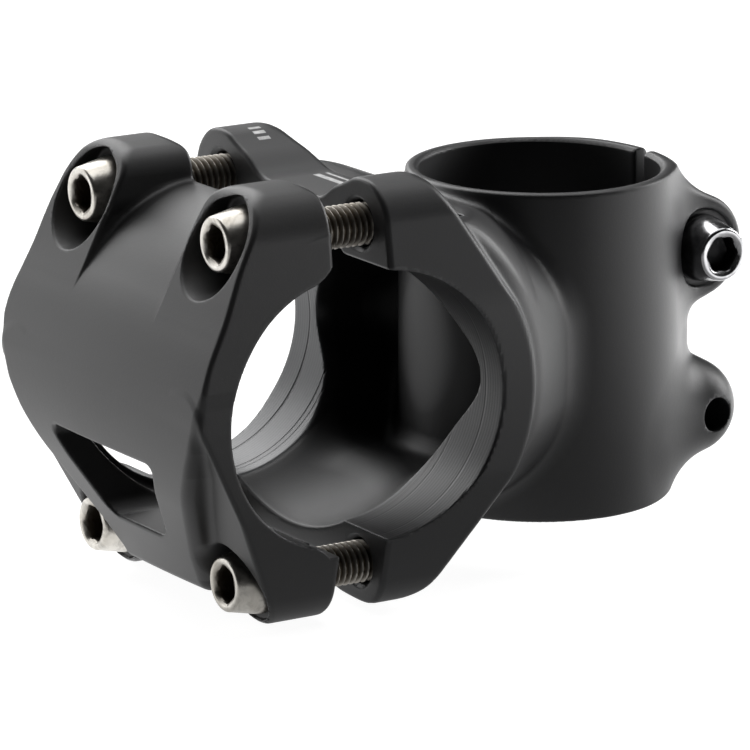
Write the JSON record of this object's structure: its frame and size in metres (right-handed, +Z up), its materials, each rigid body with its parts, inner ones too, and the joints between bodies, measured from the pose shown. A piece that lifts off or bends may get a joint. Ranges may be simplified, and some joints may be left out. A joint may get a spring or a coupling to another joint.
{
  "type": "handlebar stem",
  "caption": "Short bicycle handlebar stem: clamps a 31.8 mm bar with a four-bolt faceplate to a 28.6 mm steerer tube with two pinch bolts.",
  "frame": {"origin": "centre of the stem's footprint, at the level of its lowest ears, with the faceplate backed off as modelled; the steerer axis is at x 0, y +18.5 mm", "axes": "+Z up along the steerer axis, -Y towards the handlebar and the faceplate, X along the handlebar"},
  "size_m": [0.046, 0.0861, 0.0516],
  "materials": {
    "stem_body": "forged and machined alloy, fine-blasted satin black anodising, bar lands turned",
    "faceplate": "forged alloy, fine-blasted satin black anodising, edges slightly brighter",
    "faceplate_bolts": "plated steel, slightly oiled, tapered socket heads and rolled M5 threads",
    "steerer_bolts": "polished plated steel"
  },
  "bodies": {
    "stem_body": {"stem_body": "stem_body"},
    "faceplate": {"faceplate": "faceplate"},
    "faceplate_bolt_upper_left": {"faceplate_bolt_upper_left": "faceplate_bolts"},
    "faceplate_bolt_upper_right": {"faceplate_bolt_upper_right": "faceplate_bolts"},
    "faceplate_bolt_lower_left": {"faceplate_bolt_lower_left": "faceplate_bolts"},
    "faceplate_bolt_lower_right": {"faceplate_bolt_lower_right": "faceplate_bolts"},
    "steerer_bolt_upper": {"steerer_bolt_upper": "steerer_bolts"},
    "steerer_bolt_lower": {"steerer_bolt_lower": "steerer_bolts"}
  },
  "joints": [
    {"name": "faceplate_slide", "type": "slide", "parent": "stem_body", "child": "faceplate", "axis": [0, -1, 0], "range_m": [-0.0045, 0.0035]},
    {"name": "faceplate_bolt_upper_left_turn", "type": "hinge", "parent": "faceplate", "child": "faceplate_bolt_upper_left", "pos_m": [-0.015, -0.0308, 0.0453], "axis": [0, -1, 0], "range_deg": [-2026, 1576]},
    {"name": "faceplate_bolt_upper_right_turn", "type": "hinge", "parent": "faceplate", "child": "faceplate_bolt_upper_right", "pos_m": [0.015, -0.0308, 0.0453], "axis": [0, -1, 0], "range_deg": [-2026, 1576]},
    {"name": "faceplate_bolt_lower_left_turn", "type": "hinge", "parent": "faceplate", "child": "faceplate_bolt_lower_left", "pos_m": [-0.015, -0.0297, 0.0053], "axis": [0, -1, 0], "range_deg": [-2026, 1576]},
    {"name": "faceplate_bolt_lower_right_turn", "type": "hinge", "parent": "faceplate", "child": "faceplate_bolt_lower_right", "pos_m": [0.015, -0.0297, 0.0053], "axis": [0, -1, 0], "range_deg": [-2026, 1576]},
    {"name": "steerer_bolt_upper_turn", "type": "hinge", "parent": "stem_body", "child": "steerer_bolt_upper", "pos_m": [0.0076, 0.0367, 0.0344], "axis": [1, 0, 0], "range_deg": [-90, 720]},
    {"name": "steerer_bolt_lower_turn", "type": "hinge", "parent": "stem_body", "child": "steerer_bolt_lower", "pos_m": [-0.0076, 0.0367, 0.0145], "axis": [-1, 0, 0], "range_deg": [-90, 720]}
  ],
  "couplings": [
    {"joint": "faceplate_bolt_upper_left_turn", "follows": "faceplate_slide", "rad_per_m": 7854},
    {"joint": "faceplate_bolt_upper_right_turn", "follows": "faceplate_slide", "rad_per_m": 7854},
    {"joint": "faceplate_bolt_lower_left_turn", "follows": "faceplate_slide", "rad_per_m": 7854},
    {"joint": "faceplate_bolt_lower_right_turn", "follows": "faceplate_slide", "rad_per_m": 7854}
  ]
}
